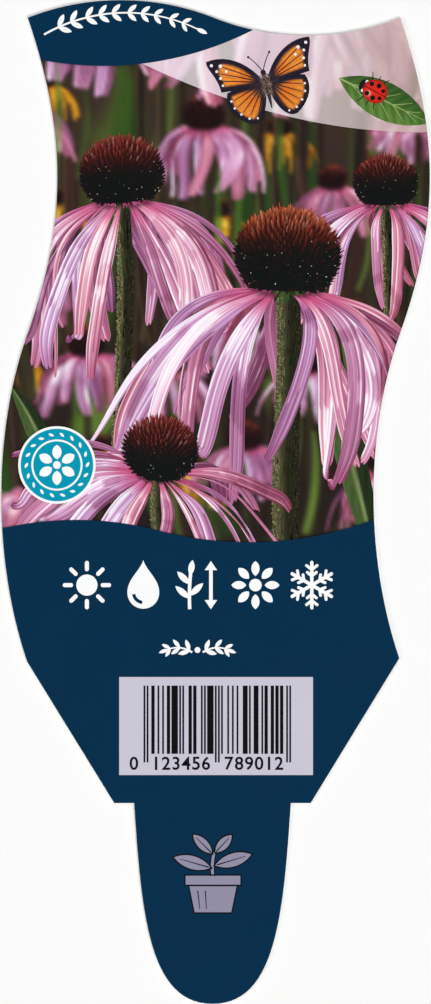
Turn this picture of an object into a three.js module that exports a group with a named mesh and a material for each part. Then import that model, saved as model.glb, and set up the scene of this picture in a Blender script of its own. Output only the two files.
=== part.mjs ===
// A plant label: one thin die-cut sheet of plastic with a wavy picture head and a long tongue.
// The tongue is pushed into the soil of a nursery pot until the two shoulders rest on it.
// Here the label lies flat on its back: x runs across the head, y from the tongue's tip to the
// head, and z out of the printed face. All sizes are in millimetres.
import * as THREE from "three";

// Driving dimensions. Heights are measured up the label from the tip of the tongue, and widths
// from the middle of the head.
const SHEET_THICKNESS = 0.5;
const HEAD_HALF_WIDTH = 31.75;
const HEAD_CORNER_HEIGHT = 168.0;

// The top edge is one S: a hollow on the right and a crest on the left.
const TOP_HOLLOW = 3.05;
const TOP_CREST = 3.0;

// Each side edge is one S too. Both sides follow the same wave, as labels cut side by side do.
// A lean is how far the edge moves sideways for each millimetre that it climbs.
const SIDE_TURN_HEIGHT = 114.3;
const LEAN_AT_ENDS = 0.34;
const LEAN_AT_TURN = 0.36;
const UPPER_WAVE_PULL = 19.2;
const LOWER_WAVE_PULL = 17.0;
const RIGHT_ELBOW = { x: 31.6, y: 58.9 };
const LEFT_ELBOW = { x: -31.85, y: 58.3 };

// The foot tapers from the elbows to the shoulders, and the tongue leaves it between them.
const SHOULDER_HEIGHT = 34.2;
const FOOT_MIDDLE = -0.25;
const FOOT_HALF_WIDTH = 16.75;
const TONGUE_HALF_WIDTH = 13.38;
const TONGUE_FLANK = { x: 12.12, y: 15.31 };
const TONGUE_TIP_PULL = 10.89;

// Straight pieces that each curve of a side or of the tongue is cut into. An arc along the top
// gets twice as many.
const STEPS_PER_CURVE = 28;
const SHEET_COLOUR = 0x0c314c;

// Goes on from the outline's last point to (x, y) along a circular arc. The arc stands out
// of the sheet by bow at its middle, or into it where bow is negative.
function arcTo(outline, x, y, bow) {
  const from = outline.currentPoint.clone();
  const chord = new THREE.Vector2(x, y).sub(from);
  const length = chord.length();
  const depth = Math.abs(bow);
  const radius = (length * length) / (8 * depth) + depth / 2;
  const outward = new THREE.Vector2(chord.y, -chord.x).normalize();
  const centre = from
    .clone()
    .addScaledVector(chord, 0.5)
    .addScaledVector(outward, -Math.sign(bow) * (radius - depth));
  const start = Math.atan2(from.y - centre.y, from.x - centre.x);
  const end = Math.atan2(y - centre.y, x - centre.x);
  outline.absarc(centre.x, centre.y, radius, start, end, bow < 0);
}

// Goes on up or down one half of a side's wave to (x, y), as a curve that is pulled along its
// lean at each end.
function waveTo(outline, x, y, startLean, endLean, pull) {
  const from = outline.currentPoint.clone();
  const climb = Math.sign(y - from.y) * pull;
  outline.bezierCurveTo(
    from.x + startLean * climb, from.y + climb,
    x - endLean * climb, y - climb,
    x, y,
  );
}

// The closed outline, counter-clockwise from the tip of the tongue.
function labelOutline() {
  const outline = new THREE.Shape();
  const rightRoot = FOOT_MIDDLE + TONGUE_HALF_WIDTH;
  const leftRoot = FOOT_MIDDLE - TONGUE_HALF_WIDTH;
  const right = HEAD_HALF_WIDTH;
  const left = -HEAD_HALF_WIDTH;

  outline.moveTo(FOOT_MIDDLE, 0);
  outline.bezierCurveTo(
    FOOT_MIDDLE + TONGUE_TIP_PULL, 0,
    FOOT_MIDDLE + TONGUE_FLANK.x, TONGUE_FLANK.y,
    rightRoot, SHOULDER_HEIGHT,
  );
  outline.lineTo(FOOT_MIDDLE + FOOT_HALF_WIDTH, SHOULDER_HEIGHT);
  outline.lineTo(RIGHT_ELBOW.x, RIGHT_ELBOW.y);
  waveTo(outline, right, SIDE_TURN_HEIGHT, -LEAN_AT_ENDS, LEAN_AT_TURN, LOWER_WAVE_PULL);
  waveTo(outline, right, HEAD_CORNER_HEIGHT, LEAN_AT_TURN, -LEAN_AT_ENDS, UPPER_WAVE_PULL);
  arcTo(outline, 0, HEAD_CORNER_HEIGHT, -TOP_HOLLOW);
  arcTo(outline, left, HEAD_CORNER_HEIGHT, TOP_CREST);
  waveTo(outline, left, SIDE_TURN_HEIGHT, -LEAN_AT_ENDS, LEAN_AT_TURN, UPPER_WAVE_PULL);
  waveTo(outline, LEFT_ELBOW.x, LEFT_ELBOW.y, LEAN_AT_TURN, -LEAN_AT_ENDS, LOWER_WAVE_PULL);
  outline.lineTo(FOOT_MIDDLE - FOOT_HALF_WIDTH, SHOULDER_HEIGHT);
  outline.lineTo(leftRoot, SHOULDER_HEIGHT);
  outline.bezierCurveTo(
    FOOT_MIDDLE - TONGUE_FLANK.x, TONGUE_FLANK.y,
    FOOT_MIDDLE - TONGUE_TIP_PULL, 0,
    FOOT_MIDDLE, 0,
  );
  return outline;
}

// The sheet itself, with the middle of its back face at the origin.
function labelSheet() {
  const geometry = new THREE.ExtrudeGeometry(labelOutline(), {
    depth: SHEET_THICKNESS,
    bevelEnabled: false,
    curveSegments: STEPS_PER_CURVE,
  });
  geometry.computeBoundingBox();
  const middle = geometry.boundingBox.getCenter(new THREE.Vector3());
  geometry.translate(-middle.x, -middle.y, 0);

  const plastic = new THREE.MeshStandardMaterial({
    color: SHEET_COLOUR,
    roughness: 0.4,
    metalness: 0,
  });
  const sheet = new THREE.Mesh(geometry, plastic);
  sheet.name = "label_sheet";
  return sheet;
}

const label = new THREE.Group();
label.name = "plant_label";
label.add(labelSheet());

export default label;
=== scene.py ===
"""Dresses a flat plastic plant label that lies on its back on a pale floor.

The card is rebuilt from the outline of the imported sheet, with softened die-cut edges. The print
lies on it as thin films of ink, each a little above the one that it covers. Places and sizes on
the label are in millimetres from its middle, with x to the right of the print and y towards the
head. Colours are written as the 0 to 255 values that a printer's proof would show.
"""

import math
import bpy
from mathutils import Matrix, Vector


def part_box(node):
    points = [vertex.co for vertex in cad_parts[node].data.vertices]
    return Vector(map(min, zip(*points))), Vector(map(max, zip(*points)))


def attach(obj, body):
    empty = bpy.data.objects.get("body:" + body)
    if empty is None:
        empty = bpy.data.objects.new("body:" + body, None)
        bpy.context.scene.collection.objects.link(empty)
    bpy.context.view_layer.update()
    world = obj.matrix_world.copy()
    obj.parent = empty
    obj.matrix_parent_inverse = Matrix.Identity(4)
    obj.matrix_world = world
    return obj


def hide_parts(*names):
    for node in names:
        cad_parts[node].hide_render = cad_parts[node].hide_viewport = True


bl_info = {
    "name": "Plant label",
    "version": (1, 0, 0),
    "blender": (4, 5, 0),
    "location": "3D View > Sidebar > Plant label",
    "description": "Dresses a flat plastic plant label: the card, its print and its stage",
    "category": "Object",
}

import bpy
import numpy as np
from mathutils import Vector
from mathutils.geometry import delaunay_2d_cdt, tessellate_polygon

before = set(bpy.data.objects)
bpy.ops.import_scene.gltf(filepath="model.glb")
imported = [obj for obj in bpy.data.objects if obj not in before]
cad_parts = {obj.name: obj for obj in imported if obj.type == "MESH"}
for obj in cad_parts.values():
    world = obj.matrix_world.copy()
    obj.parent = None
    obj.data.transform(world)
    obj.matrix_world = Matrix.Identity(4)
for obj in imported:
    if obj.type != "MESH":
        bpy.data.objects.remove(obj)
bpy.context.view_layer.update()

MM = 0.001
SHEET = "label_sheet"
FACE_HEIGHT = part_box(SHEET)[1].z / MM

# The tray for the print begins a rim's width inside the outline, and the print lies inside that.
RIM = 0.036
PRINT_INSET = 0.004

# The borders of the print's parts.
HEADER_LEFT = (-29.75, 75.3)
HEADER_RIGHT = (6.6, 80.5)
HEADER_BOW = 3.1
BAND_CURVE = ((-14.0, 75.4), (2.0, 67.6), (19.0, 62.4), (38.0, 63.0))
WAVE_LEFT = (-38.0, -4.9)
WAVE_TURN = (-8.6, -5.13)
WAVE_RIGHT = (28.5, -2.4)
WAVE_CREST = 1.95
WAVE_TROUGH = 2.95

# Levels of the ink films that lie above everything in the picture.
BAND_LEVEL = 86
INSECT_LEVEL = 87
PANEL_LEVEL = 95
MARK_LEVEL = 97
LINE_LEVEL = 99

# The marks on the flat inks.
SIGN_LINE = -14.15
SIGN_SIZE = 8.2
SIGN_PLACES = (-21.9, -12.3, -2.75, 6.8, 16.4)
ORNAMENT_PLACE = (-3.07, -25.2)
BADGE_PLACE = (-27.0, 6.3)
BADGE_RADIUS = 6.6
TONGUE_PLACE = (-0.43, -63.3)

# The panel of bars. A digit's bars are given as the widths of its dark and pale runs in modules,
# and the digits' places as modules from the first bar.
BAR_PANEL = ((-16.4, -46.5), (16.6, -29.8))
BARS_LEFT = -12.23
BARS_TOP = -31.26
BARS_FOOT = -42.89
GUARDS_FOOT = -44.34
DIGITS_FOOT = -45.62
DIGIT_HEIGHT = 2.25
FIRST_DIGIT = -6.3
DIGIT_GROUPS = (24.1, 71.2)
DIGIT_PITCH = 6.44
DIGITS = "0123456789012"
BAR_WIDTHS = ("3211", "2221", "2122", "1411", "1132", "1231", "1114", "1312", "1213", "3112")

# The map of the print, and the gap between its boxes as a share of its side.
MAP_NAME = "OFBake"
MAP_GAP = 0.004

# The inks of the picture. Tones are colours at amounts of light.
FOLIAGE = ((60, 98, 34), (88, 134, 46), (44, 82, 30), (104, 138, 52), (76, 90, 42))
DARK_STALKS = ((44, 30, 28), (34, 27, 25), (68, 44, 38), (52, 46, 34), (27, 24, 24))
STEM_TONES = ((66, 52, 40), (42, 38, 29), (64, 70, 40), (80, 80, 52), (50, 50, 34))
YELLOW_TONES = (
    (0.10, (128, 74, 20)), (0.45, (196, 134, 30)), (0.70, (226, 176, 40)), (1.00, (248, 216, 84)),
)
PETAL_TONES = (
    (0.10, (120, 58, 84)), (0.36, (158, 93, 123)), (0.54, (186, 118, 150)),
    (0.70, (209, 145, 175)), (0.85, (230, 177, 202)), (1.00, (248, 213, 231)), (1.12, (255, 246, 252)),
)
LIGHT_FROM = np.array([-0.50, 0.70, 0.51])

# The grid of a petal, the steps that its curve is worked out in, the lines of its cupped face,
# and the share of petals with a curled tip.
PETAL_ROWS = 44
PETAL_COLUMNS = 17
PETAL_STEPS = 60
CUP_LINES = 3
CURLED_SHARE = 0.16

# Points that a sharp cone's dome is drawn round, and the levels that its spines take up.
DOME_POINTS = 400
SPINE_LEVELS = 12

# Streaks and hairs for each millimetre of a stem.
STREAKS_PER_MM = 9
HAIRS_PER_MM = 14

# How many far leaves and stalks there are, and how many petals and spines a far coneflower has.
FAR_LEAVES = 54
FAR_STALKS = 40
FAR_PETALS = 19
FAR_SPINES = 90
# The middle of each far coneflower, the length of its petals and how unsharp it is.
FAR_BLOOMS = (
    (-33, 42, 13, 1.3), (-32, 69, 13, 1.3), (36, 30, 15, 1.1), (29, 7, 14, 1.2), (0, 33, 14, 1.2),
    (-30, 4, 15, 1.0), (5, 11, 13, 1.3), (-22, 27, 14, 1.2), (38, -2, 13, 1.3), (16, 24, 12, 1.4),
    (20, 55, 11, 1.4), (33, 66, 9, 1.6), (-8, 24, 12, 1.4),
    (-2, 66, 16, 1.0), (42, 83, 24, 0.8), (-19, 92, 24, 0.8), (24, 89, 26, 0.7), (9, 92, 27, 0.7),
)
# The same for the far yellow flowers.
FAR_YELLOWS = (
    (-29, 72, 8, 1.1), (11, 64, 9, 1.1), (-3, 6, 8, 1.1), (33, 16, 9, 0.9), (-35, 26, 9, 1.0),
    (24, 33, 7, 1.0), (-27, 52, 8, 1.0), (26, 57, 10, 1.2), (1, 50, 8, 1.2), (-20, 10, 8, 1.1),
)

# The borders of the butterfly's right wings, as curves round a body of no width.
WING_FRONT = (
    ((0.03, 0.06), (0.25, 0.50), (0.62, 0.72), (0.98, 0.66)),
    ((0.98, 0.66), (1.02, 0.52), (0.84, 0.36), (0.84, 0.04)),
    ((0.84, 0.04), (0.56, 0.02), (0.30, -0.02), (0.03, -0.02)),
)
WING_BACK = (
    ((0.03, 0.02), (0.28, 0.06), (0.56, 0.06), (0.74, 0.00)),
    ((0.74, 0.00), (0.84, -0.22), (0.72, -0.50), (0.44, -0.66)),
    ((0.44, -0.66), (0.24, -0.72), (0.08, -0.46), (0.03, -0.12)),
)
# Its wing veins, as angles in degrees and lengths, and its wing dots, as places and radii.
WING_VEINS = (
    (8, 0.95), (17, 1.0), (26, 1.04), (35, 1.02), (-14, 0.78), (-26, 0.80), (-38, 0.79), (-50, 0.76),
    (-62, 0.70),
)
WING_DOTS = (
    (0.90, 0.57, 0.030), (0.83, 0.44, 0.026), (0.79, 0.30, 0.028), (0.78, 0.16, 0.024),
    (0.74, 0.52, 0.034), (0.66, 0.40, 0.026), (0.70, -0.16, 0.022), (0.67, -0.30, 0.022),
    (0.58, -0.44, 0.022), (0.45, -0.55, 0.022), (0.30, -0.58, 0.02),
)
# How many hairs its body has, and how they fall.
BUTTERFLY_HAIRS = 150
BUTTERFLY_SEED = 2

# The ladybird's leaf: its ends, its direction and length, and its veins. For each vein, where it
# begins along the leaf, and how far it runs along and across.
LEAF_ROOT = (21.0, 72.2)
LEAF_TIP = (36.5, 64.5)
LEAF_ALONG = np.array((0.895, -0.445))
LEAF_ACROSS = np.array((0.445, 0.895))
LEAF_LENGTH = 17.3
LEAF_VEINS = (
    (0.2, 15.8, 0.0), (2.4, 2.6, 1.1), (2.4, 2.6, -1.1), (4.8, 3.0, 1.9), (4.8, 3.0, -1.9),
    (7.4, 3.2, 2.3), (7.4, 3.2, -2.3), (10.2, 3.0, 1.8), (10.2, 3.0, -1.8), (12.8, 2.2, 0.9),
    (12.8, 2.2, -0.9),
)

# The camera's height over the face and the floor's half width, in metres. How wide each light
# spreads, in degrees. Then each light's name, its height over the floor and its turn in degrees,
# and its strength.
CAMERA_DISTANCE = 0.9498
FLOOR_HALF = 4.0
LIGHT_SPREAD = 40
LIGHTS = (("key_light", 50, 35, 2.0), ("fill_light", 40, -75, 1.09), ("back_light", 45, 170, 0.82))


def numbers(*values):
    """Each value as an array of numbers."""
    return [np.asarray(value, float) for value in values]


def shade(colour):
    """A proof colour, or rows of them, as the linear values that Blender works in."""
    value = np.asarray(colour, float) / 255
    return np.where(value <= 0.04045, value / 12.92, ((value + 0.055) / 1.055) ** 2.4)


def blend(a, b, share):
    """Colours or numbers a and b mixed, with b's share from 0 to 1."""
    a, b, share = numbers(a, b, share)
    if share.ndim and (a.ndim or b.ndim):
        share = share[..., None]
    return a * (1 - share) + b * share


def ease(value, low=0.0, high=1.0):
    """0 below low and 1 above high, with a smooth climb between them."""
    t = np.clip((np.asarray(value, float) - low) / (high - low), 0, 1)
    return t * t * (3 - 2 * t)


def along(path, place, marks=None):
    """The rows of a path at places on it, which are counted in rows or between marks."""
    marks = range(len(path)) if marks is None else marks
    return np.stack([np.interp(place, marks, column) for column in np.transpose(path)], -1)


def unit(steps):
    """Each step made one long."""
    return steps / np.maximum(np.linalg.norm(steps, axis=-1, keepdims=True), 1e-9)


def across_of(steps):
    """Each row turned a quarter to the left and made one long."""
    return unit(np.stack([-steps[:, 1], steps[:, 0]], 1))


def length_of(path):
    """How long a path is."""
    return np.linalg.norm(np.diff(path, axis=0), axis=1).sum()


def jitter(rng, colour, amount):
    """A colour made a little lighter or darker at random."""
    return np.clip(np.asarray(colour, float) * (1 + rng.uniform(-amount, amount)), 0, 255)


def ripple(rng, place, low, high):
    """A sine that turns by low to high radians for each unit of place."""
    return np.sin(place * rng.uniform(low, high) + rng.uniform(0, 6))


def curve(*points, steps=24):
    """Points along a Bezier curve with three or four control points."""
    t, points = np.linspace(0, 1, steps + 1)[:, None], numbers(*points)
    while len(points) > 1:
        points = [a * (1 - t) + b * t for a, b in zip(points, points[1:])]
    return points[0]


def bow(start, end, height, steps=24):
    """Points along a circular arc that stands height to the left of the line from start to end."""
    start, end = numbers(start, end)
    chord = end - start
    length = np.hypot(*chord)
    half_turn = 2 * math.atan(2 * abs(height) / length)
    radius = length / 2 / math.sin(half_turn)
    ahead = chord / length
    left = np.array([-ahead[1], ahead[0]]) * math.copysign(1, height)
    centre = (start + end) / 2 - left * radius * math.cos(half_turn)
    turn = np.linspace(-half_turn, half_turn, steps + 1)[:, None]
    return centre + radius * (ahead * np.sin(turn) + left * np.cos(turn))


def moved(points, centre=(0, 0), tilt=0.0, size=1.0):
    """Points drawn round the origin, sized, turned by tilt degrees and moved to centre."""
    cos, sin = math.cos(math.radians(tilt)), math.sin(math.radians(tilt))
    return np.asarray(points, float) @ np.array([[cos, sin], [-sin, cos]]) * size + centre


def ellipse(centre, half_width, half_height=None, tilt=0.0, start=0.0, end=360.0, steps=40):
    """Points round an ellipse, or along a part of it, with angles in degrees."""
    turn = np.radians(np.linspace(start, end, steps + 1))
    if end - start == 360.0:
        turn = turn[:-1]
    half_height = half_width if half_height is None else half_height
    return moved(np.stack([half_width * np.cos(turn), half_height * np.sin(turn)], 1), centre, tilt)


def rectangle(low, high):
    """A loop round a box from its lowest and highest corner."""
    return np.array([low, (high[0], low[1]), high, (low[0], high[1])], float)


def lens(start, end, width):
    """A leaf-shaped loop between two points."""
    halves = (bow(start, end, -width / 2, 10), bow(end, start, -width / 2, 10))
    return np.concatenate([half[:-1] for half in halves])


def strip(path, width, tip_width=None):
    """The loop round a strip along a path."""
    points, _, _ = ribbon(path, width, tip_width)
    return np.concatenate([points[1::2], points[::2][::-1]])


def bar(start, end, width):
    """The loop round a straight stroke with round ends."""
    start, end = numbers(start, end)
    turn = math.degrees(math.atan2(*(end - start)[::-1])) - 90
    caps = [ellipse(end, width / 2, start=turn, end=turn + 180, steps=10)]
    caps.append(ellipse(start, width / 2, start=turn + 180, end=turn + 360, steps=10))
    return np.concatenate(caps)


def hull(points):
    """The convex border of some points, counter-clockwise."""
    order = points[np.lexsort((points[:, 1], points[:, 0]))]

    def chain(path):
        kept = []
        for p in path:
            while len(kept) > 1 and np.linalg.det([kept[-1] - kept[-2], p - kept[-1]]) <= 0:
                kept.pop()
            kept.append(p)
        return kept[:-1]

    return np.array(chain(order) + chain(order[::-1]))


def cut_outline():
    """The sheet's outline, counter-clockwise, read from the printed face of the CAD solid."""
    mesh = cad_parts[SHEET].data
    places = [tuple(round(c / MM, 4) for c in v.co.xy) for v in mesh.vertices]
    edges = set()
    for face in mesh.polygons:
        if face.normal.z > 0.9:
            ring = [places[i] for i in face.vertices]
            edges.update(zip(ring, ring[1:] + ring[:1]))
    after = {a: b for a, b in edges if (b, a) not in edges}
    outline = [max(after)]
    while after[outline[-1]] != outline[0]:
        outline.append(after[outline[-1]])
    return np.array(outline)


def drawn_in(loop, distance):
    """A counter-clockwise loop, moved inwards by a small distance."""
    into = across_of(loop - np.roll(loop, 1, 0))
    out = across_of(np.roll(loop, -1, 0) - loop)
    share = 1 + (into * out).sum(1, keepdims=True)
    return loop + distance * (into + out) / np.maximum(share, 0.4)


def depth_inside(points, loop):
    """How far each point lies inside a loop. Outside it the depth is negative."""
    ahead = np.roll(loop, -1, 0)
    step = ahead - loop
    found = []
    for some in np.array_split(points, max(1, len(points) // 1500)):
        rel = some[:, None] - loop
        place = ((rel * step).sum(2) / (step * step).sum(1)).clip(0, 1)
        gap = np.linalg.norm(rel - place[..., None] * step, axis=2).min(1)
        level = some[:, 1:2]
        spans = (loop[:, 1] > level) != (ahead[:, 1] > level)
        with np.errstate(divide="ignore", invalid="ignore"):
            meets = loop[:, 0] + step[:, 0] * (level - loop[:, 1]) / step[:, 1]
        inside = (spans & (some[:, :1] < meets)).sum(1) % 2 == 1
        found.append(np.where(inside, gap, -gap))
    return np.concatenate(found)


def wave():
    """The border between the picture and the lower panel, from left to right."""
    left = bow(WAVE_LEFT, WAVE_TURN, WAVE_CREST, steps=30)
    return np.concatenate([left, bow(WAVE_TURN, WAVE_RIGHT, -WAVE_TROUGH, steps=30)[1:]])


def header_curve():
    """The lower border of the header, from left to right, run on past both its ends."""
    dip = bow(HEADER_LEFT, HEADER_RIGHT, -HEADER_BOW, steps=40)
    before = dip[0] + (dip[0] - dip[1]) * np.linspace(2, 0.5, 3)[:, None]
    after = dip[-1] + (dip[-1] - dip[-2]) * np.linspace(0.5, 2, 3)[:, None]
    return np.concatenate([before, dip, after])


def crossing(a, b, line):
    """Where the step from a to b crosses a line of points: the place along the line, and where."""
    for i, (c, d) in enumerate(zip(line, line[1:])):
        base = (b[0] - a[0]) * (d[1] - c[1]) - (b[1] - a[1]) * (d[0] - c[0])
        if abs(base) < 1e-12:
            continue
        t = ((c[0] - a[0]) * (d[1] - c[1]) - (c[1] - a[1]) * (d[0] - c[0])) / base
        s = ((c[0] - a[0]) * (b[1] - a[1]) - (c[1] - a[1]) * (b[0] - a[0])) / base
        if 0 <= t <= 1 and 0 <= s <= 1:
            return i + s, a + (b - a) * t
    return None


def part_of(loop, line):
    """The part of a counter-clockwise loop that lies to the left of a line across it.

    The line runs from one side of the loop to the other, and its own points close the part."""
    found = [(crossing(a, b, line), i) for i, (a, b) in enumerate(zip(loop, np.roll(loop, -1, 0)))]
    hits = sorted(((*hit, i) for hit, i in found if hit is not None), key=lambda hit: hit[0])
    # The line enters the loop at its first hit, and the loop goes on from where it leaves.
    (first, entry, i), (last, exit_point, k) = hits[0], hits[-1]
    chain = [loop[(k + 1 + step) % len(loop)] for step in range((i - k) % len(loop))]
    return np.array([entry, *line[math.floor(first) + 1:math.floor(last) + 1], exit_point, *chain])


def facing_up(points, triangles):
    """The triangles that have a size, all counter-clockwise."""
    a, b, c = points[triangles].transpose(1, 0, 2)
    size = (b - a)[:, 0] * (c - a)[:, 1] - (b - a)[:, 1] * (c - a)[:, 0]
    triangles = np.where(size[:, None] < 0, triangles[:, ::-1], triangles)
    return triangles[np.abs(size) > 1e-7]


def filled(*loops):
    """Points and triangles of a flat shape with the first loop as its border and holes in it."""
    points = np.concatenate(loops)
    rings = [[Vector((*p, 0)) for p in loop] for loop in loops]
    return points, facing_up(points, np.array(tessellate_polygon(rings)))


def divided(given, rings, fineness):
    """Points, triangles and the rings that each triangle lies in, for points and rings of them."""
    given = [Vector(p) for p in given]
    points, _, faces, _, _, origins = delaunay_2d_cdt(given, [], rings, 1, fineness)
    return np.array([tuple(p) for p in points]), np.array([tuple(f) for f in faces]), origins


def joined(loops, holes=()):
    """Points and triangles of all that lies in any of the loops and in none of the holes."""
    given, rings = [], []
    for loop in (*loops, *holes):
        x, y = loop.T
        turns_left = (x * np.roll(y, -1) - y * np.roll(x, -1)).sum() > 0
        rings.append(list(range(len(given), len(given) + len(loop))))
        given += list(loop if turns_left else loop[::-1])
    points, faces, origins = divided(given, rings, 1e-5)
    kept = [bool(origin) and max(origin) < len(loops) for origin in origins]
    return points, facing_up(points, faces[kept])


def meshed(border, pitch):
    """Points and triangles that fill a loop evenly, about pitch apart."""
    low, high = border.min(0), border.max(0)
    columns, rows = (np.arange(a, b, pitch * 0.93) for a, b in zip(low, high))
    grid = np.stack(np.meshgrid(columns, rows), -1).reshape(-1, 2)
    grid = grid[depth_inside(grid, border) > pitch * 0.3]
    ring = list(range(len(border)))
    points, faces, _ = divided(np.concatenate([border, grid]), [ring], 1e-6)
    return points, facing_up(points, faces)


def patch(rows, columns):
    """Triangles of a grid of points that is stored row by row."""
    index = np.arange(rows * columns).reshape(rows, columns)
    a, b, c, d = index[:-1, :-1], index[:-1, 1:], index[1:, 1:], index[1:, :-1]
    return np.concatenate([np.stack(corners, -1).reshape(-1, 3) for corners in ((a, b, c), (a, c, d))])


def ribbon(path, width, tip_width=None, columns=2):
    """A strip along a path, and how far across and along it each of its points lies."""
    path = np.asarray(path, float)
    t = np.linspace(0, 1, len(path))
    if np.isscalar(width):
        width = blend(width, width if tip_width is None else tip_width, t)
    across = np.linspace(-1, 1, columns)
    side = across_of(np.gradient(path, axis=0))
    points = path[:, None] - side[:, None] * across[:, None] * width[:, None, None] / 2
    points = points.reshape(-1, 2)
    places = np.stack(np.meshgrid(across, t), -1).reshape(-1, 2)
    return points, facing_up(points, patch(len(path), columns)), places


def trimmed(points, triangles, columns, border):
    """Cuts triangles off at a border. columns are values at the points, which are cut along."""
    depth = depth_inside(points, border)
    if depth.min() >= 0:
        return points, triangles, columns
    inside = (depth >= 0)[triangles]
    kept = list(triangles[inside.all(1)])
    points, columns = list(points), list(columns)
    made = {}

    def cut(a, b):
        key = (min(a, b), max(a, b))
        if key not in made:
            t = depth[a] / (depth[a] - depth[b])
            made[key] = len(points)
            points.append(points[a] * (1 - t) + points[b] * t)
            columns.append(columns[a] * (1 - t) + columns[b] * t)
        return made[key]

    for triangle, within in zip(triangles, inside):
        if within.all() or not within.any():
            continue
        first = int(np.argmax(within if within.sum() == 1 else ~within))
        a, b, c = np.roll(triangle, -first)
        ab, ca = cut(a, b), cut(a, c)
        kept += [(a, ab, ca)] if within.sum() == 1 else [(ab, b, c), (ab, c, ca)]
    used, kept = np.unique(np.array(kept, int).reshape(-1, 3), return_inverse=True)
    return np.array(points)[used], kept.reshape(-1, 3), np.array(columns)[used]


def upright(points):
    """Points turned about so that the longest way across them runs up."""
    spread = points - points.mean(0)
    return spread @ np.linalg.eigh(spread.T @ spread)[1]


def packed(boxes):
    """Lays boxes in rows in a square. Returns the lower corner of each, and the square's side."""
    order = np.argsort(-boxes[:, 1], kind="stable")
    side = math.sqrt(boxes.prod(1).sum())
    while True:
        gap = side * MAP_GAP
        corners, x, y, row = np.zeros_like(boxes), gap, gap, 0.0
        for i in order:
            if x + boxes[i, 0] + gap > side:
                x, y, row = gap, y + row + gap, 0.0
            corners[i] = x, y
            x, row = x + boxes[i, 0] + gap, max(row, boxes[i, 1])
        if (corners + boxes).max() + gap <= side:
            return corners, side
        side *= 1.02


OUTLINE = cut_outline()
PRINT_BORDER = drawn_in(OUTLINE, RIM + PRINT_INSET)


class Stack:
    """How high the ink stands at each spot, so that a new shape lies on all that it covers."""

    CELL = 0.4
    SPOTS = np.array([(i, j, 5 - i - j) for i in range(6) for j in range(6 - i)]) / 5

    def __init__(self):
        self.low = OUTLINE.min(0) - 2
        size = ((np.ptp(OUTLINE, axis=0) + 4) / self.CELL).astype(int) + 2
        self.levels = np.zeros(size, int)

    def rest(self, points, triangles, thick=1):
        """The lowest level at which a shape clears what it covers. The shape then holds it.

        thick is how many levels the shape takes up."""
        spots = np.einsum("sk,tkc->tsc", self.SPOTS, points[triangles]).reshape(-1, 2)
        cells = np.floor((spots - self.low) / self.CELL).astype(int)
        cells = tuple(cells.clip(0, np.array(self.levels.shape) - 1).T)
        level = min(int(self.levels[cells].max()) + 1, BAND_LEVEL - thick)
        self.levels[cells] = level + thick - 1
        return level


STACK = Stack()


class Inks:
    """One printed piece, gathered shape by shape and then made into a mesh of thin films."""

    def __init__(self, name, slot, finish):
        self.name, self.slot, self.finish = name, slot, finish
        self.corners, self.faces, self.values = [], [], []
        self.count = 0

    def lay(self, shape, level, colour=(0, 0, 0), place=(0, 0), kind=0.0, bleeds=False, plan=None):
        """Adds one flat shape with its colours and the places that its grain follows.

        plan is how the shape lies in its own box of the map, in millimetres."""
        points, triangles = shape[:2]
        columns = np.zeros((len(points), 9))
        columns[:, 7:] = upright(points) if plan is None else plan
        columns[:, 6] = level + 0.3 * (len(self.faces) % 3)
        columns[:, :3] = colour
        columns[:, 3:5] = place
        columns[:, 5] = kind
        if bleeds:
            points, triangles, columns = trimmed(points, triangles, columns, PRINT_BORDER)
        if len(triangles) == 0:
            return
        sizes = bpy.context.scene.label_sizes
        bottom = FACE_HEIGHT - sizes.ink_depth / MM
        top = np.minimum(bottom + (columns[:, 6] + 1) * sizes.ink_film / MM, FACE_HEIGHT)
        edges = np.concatenate([triangles[:, [0, 1]], triangles[:, [1, 2]], triangles[:, [2, 0]]])
        key = edges.min(1) * len(points) + edges.max(1)
        _, first, times = np.unique(key, return_index=True, return_counts=True)
        a, b = edges[first[times == 1]].T
        down = len(points)
        walls = [np.stack([a + down, b + down, b], 1), np.stack([a + down, b, a], 1)]
        faces = np.concatenate([triangles[:, ::-1] + down, *walls, triangles])
        for height in (top, np.full(len(points), bottom)):
            self.corners.append(np.column_stack([points, height]))
            self.values.append(columns)
        self.faces.append(faces + self.count)
        self.count += 2 * len(points)

    def print_on(self):
        """Makes the piece, which rides on the label."""
        corners, faces = np.concatenate(self.corners) * MM, np.concatenate(self.faces)
        values, plan = np.concatenate(self.values), self.map_plan()
        used, faces = np.unique(faces, return_inverse=True)
        corners, values, faces = corners[used], values[used], faces.reshape(-1, 3)
        piece = solid(self.name, corners, faces.tolist(), self.finish)
        attributes = piece.data.attributes
        rows = np.column_stack([shade(values[:, :3]), np.ones(len(values))])
        inks = attributes.new("ink", "FLOAT_COLOR", "POINT")
        inks.data.foreach_set("color", rows.astype(np.float32).ravel())
        places = attributes.new("grain", "FLOAT_VECTOR", "POINT")
        places.data.foreach_set("vector", values[:, 3:6].astype(np.float32).ravel())
        layer = piece.data.uv_layers.new(name=MAP_NAME)
        layer.uv.foreach_set("vector", plan[used][faces].astype(np.float32).ravel())

    def map_plan(self):
        """Where each point lies on the map, on which every shape has a box of its own.

        A shape's underside lies under its top, so that both take the same colours."""
        plans = [values[:, 7:] for values in self.values[::2]]
        corners, side = packed(np.array([np.ptp(plan, axis=0) for plan in plans]))
        placed = [plan - plan.min(0) + corner for plan, corner in zip(plans, corners)]
        return np.concatenate([np.tile(plan, (2, 1)) for plan in placed]) / side


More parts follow.
